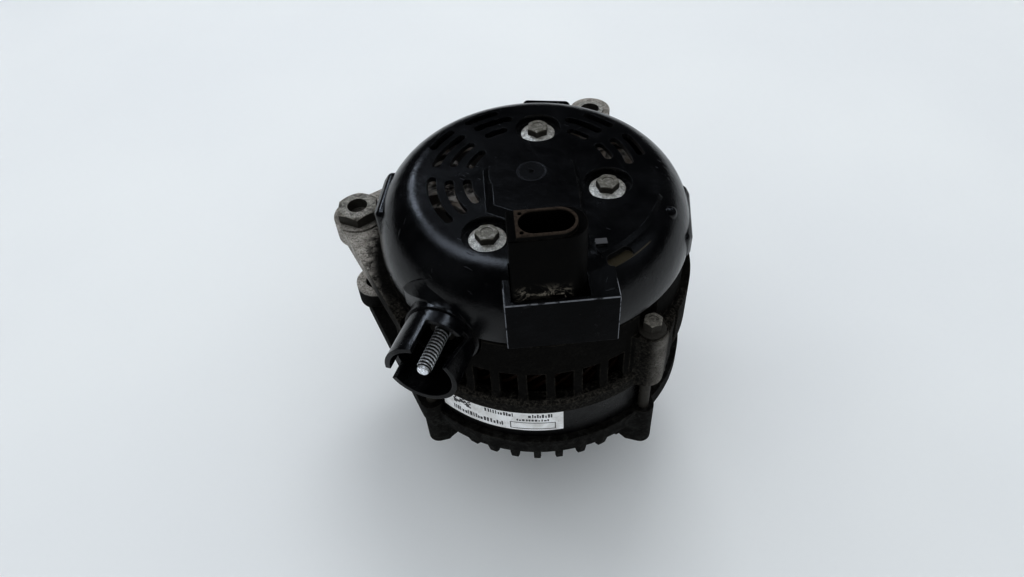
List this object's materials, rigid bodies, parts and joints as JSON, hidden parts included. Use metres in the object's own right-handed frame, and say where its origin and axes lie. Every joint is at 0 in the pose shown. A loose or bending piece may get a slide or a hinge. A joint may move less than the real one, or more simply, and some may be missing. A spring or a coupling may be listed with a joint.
{
  "type": "car alternator",
  "caption": "Claw-pole car alternator with slotted black rear cover, plug tower, shrouded output stud, ribbed brackets, mounting ears and grooved pulley.",
  "frame": {"origin": "on the rotor axis, in the flat nose face of the pulley that the machine stands on", "axes": "+Z along the rotor axis from the pulley to the rear cover; -Y towards the plug tower"},
  "size_m": [0.157, 0.1652, 0.185],
  "materials": {
    "cover_plastic": "glossy black, finely scratched",
    "tower_plastic": "matte black",
    "casting": "rough die cast, oily grime",
    "core_steel": "black lacquered laminations",
    "zinc_steel": "zinc plated, speckled",
    "dirty_steel": "oxidised and oily",
    "bearing_steel": "ground",
    "shaft_steel": "turned",
    "pole_iron": "dark varnished iron",
    "copper": "enamelled copper",
    "slip_copper": "turned copper",
    "heat_sink": "stamped plate",
    "carbon": "copper graphite",
    "moulding": "glass filled, brown black",
    "pulley_steel": "phosphated, grooves polished",
    "rubber_seal": "moulded seal",
    "label_film": null
  },
  "bodies": {
    "housing": {"rear_cover": "cover_plastic", "cover_bolts": "zinc_steel", "rear_bracket": "casting", "front_bracket": "casting", "stator_core": "core_steel", "stator_winding": "copper", "through_bolts": "dirty_steel", "ear_nut": "dirty_steel", "ear_sleeve": "zinc_steel", "name_label": "label_film", "negative_heat_sink": "heat_sink", "positive_heat_sink": "heat_sink", "negative_diodes": "heat_sink", "positive_diodes": "heat_sink", "terminal_frame": "moulding", "b_plus_stud": "zinc_steel", "b_plus_base_nut": "zinc_steel", "b_plus_shroud": "cover_plastic", "regulator_housing": "tower_plastic", "regulator_fins": "heat_sink", "connector_pins": "slip_copper", "brush_holder": "moulding", "brush_spring_inner": "zinc_steel", "brush_spring_outer": "zinc_steel", "front_bearing_outer_ring": "bearing_steel", "front_bearing_seals": "rubber_seal", "rear_bearing_outer_ring": "bearing_steel", "rear_bearing_seals": "rubber_seal", "bearing_retainer": "zinc_steel", "retainer_screws": "zinc_steel", "wave_washer": "shaft_steel"},
    "rotor": {"rotor_shaft": "shaft_steel", "front_claw_pole": "pole_iron", "rear_claw_pole": "pole_iron", "coil_bobbin": "moulding", "field_coil": "copper", "front_fan": "zinc_steel", "rear_fan": "zinc_steel", "slip_ring_core": "moulding", "slip_ring_inner": "slip_copper", "slip_ring_outer": "slip_copper", "pulley": "pulley_steel", "pulley_nut": "zinc_steel", "front_spacer": "shaft_steel", "front_bearing_inner_ring": "bearing_steel", "rear_bearing_inner_ring": "bearing_steel"},
    "front_ball_set": {"front_bearing_balls": "bearing_steel", "front_bearing_cage": "moulding"},
    "rear_ball_set": {"rear_bearing_balls": "bearing_steel", "rear_bearing_cage": "moulding"},
    "inner_brush": {"brush_inner": "carbon"},
    "outer_brush": {"brush_outer": "carbon"}
  },
  "joints": [
    {"name": "rotor_spin", "type": "hinge", "parent": "housing", "child": "rotor", "pos_m": [0, 0, 0.075], "axis": [0, 0, 1], "continuous": true},
    {"name": "front_cage_spin", "type": "hinge", "parent": "housing", "child": "front_ball_set", "pos_m": [0, 0, 0.0375], "axis": [0, 0, 1], "continuous": true},
    {"name": "rear_cage_spin", "type": "hinge", "parent": "housing", "child": "rear_ball_set", "pos_m": [0, 0, 0.111], "axis": [0, 0, 1], "continuous": true},
    {"name": "inner_brush_slide", "type": "slide", "parent": "housing", "child": "inner_brush", "axis": [0, -1, 0], "range_m": [0, 0.003], "deforming": ["brush_spring_inner"]},
    {"name": "outer_brush_slide", "type": "slide", "parent": "housing", "child": "outer_brush", "axis": [0, -1, 0], "range_m": [0, 0.003], "deforming": ["brush_spring_outer"]}
  ],
  "couplings": [
    {"joint": "front_cage_spin", "follows": "rotor_spin", "ratio": 0.3638},
    {"joint": "rear_cage_spin", "follows": "rotor_spin", "ratio": 0.38}
  ]
}
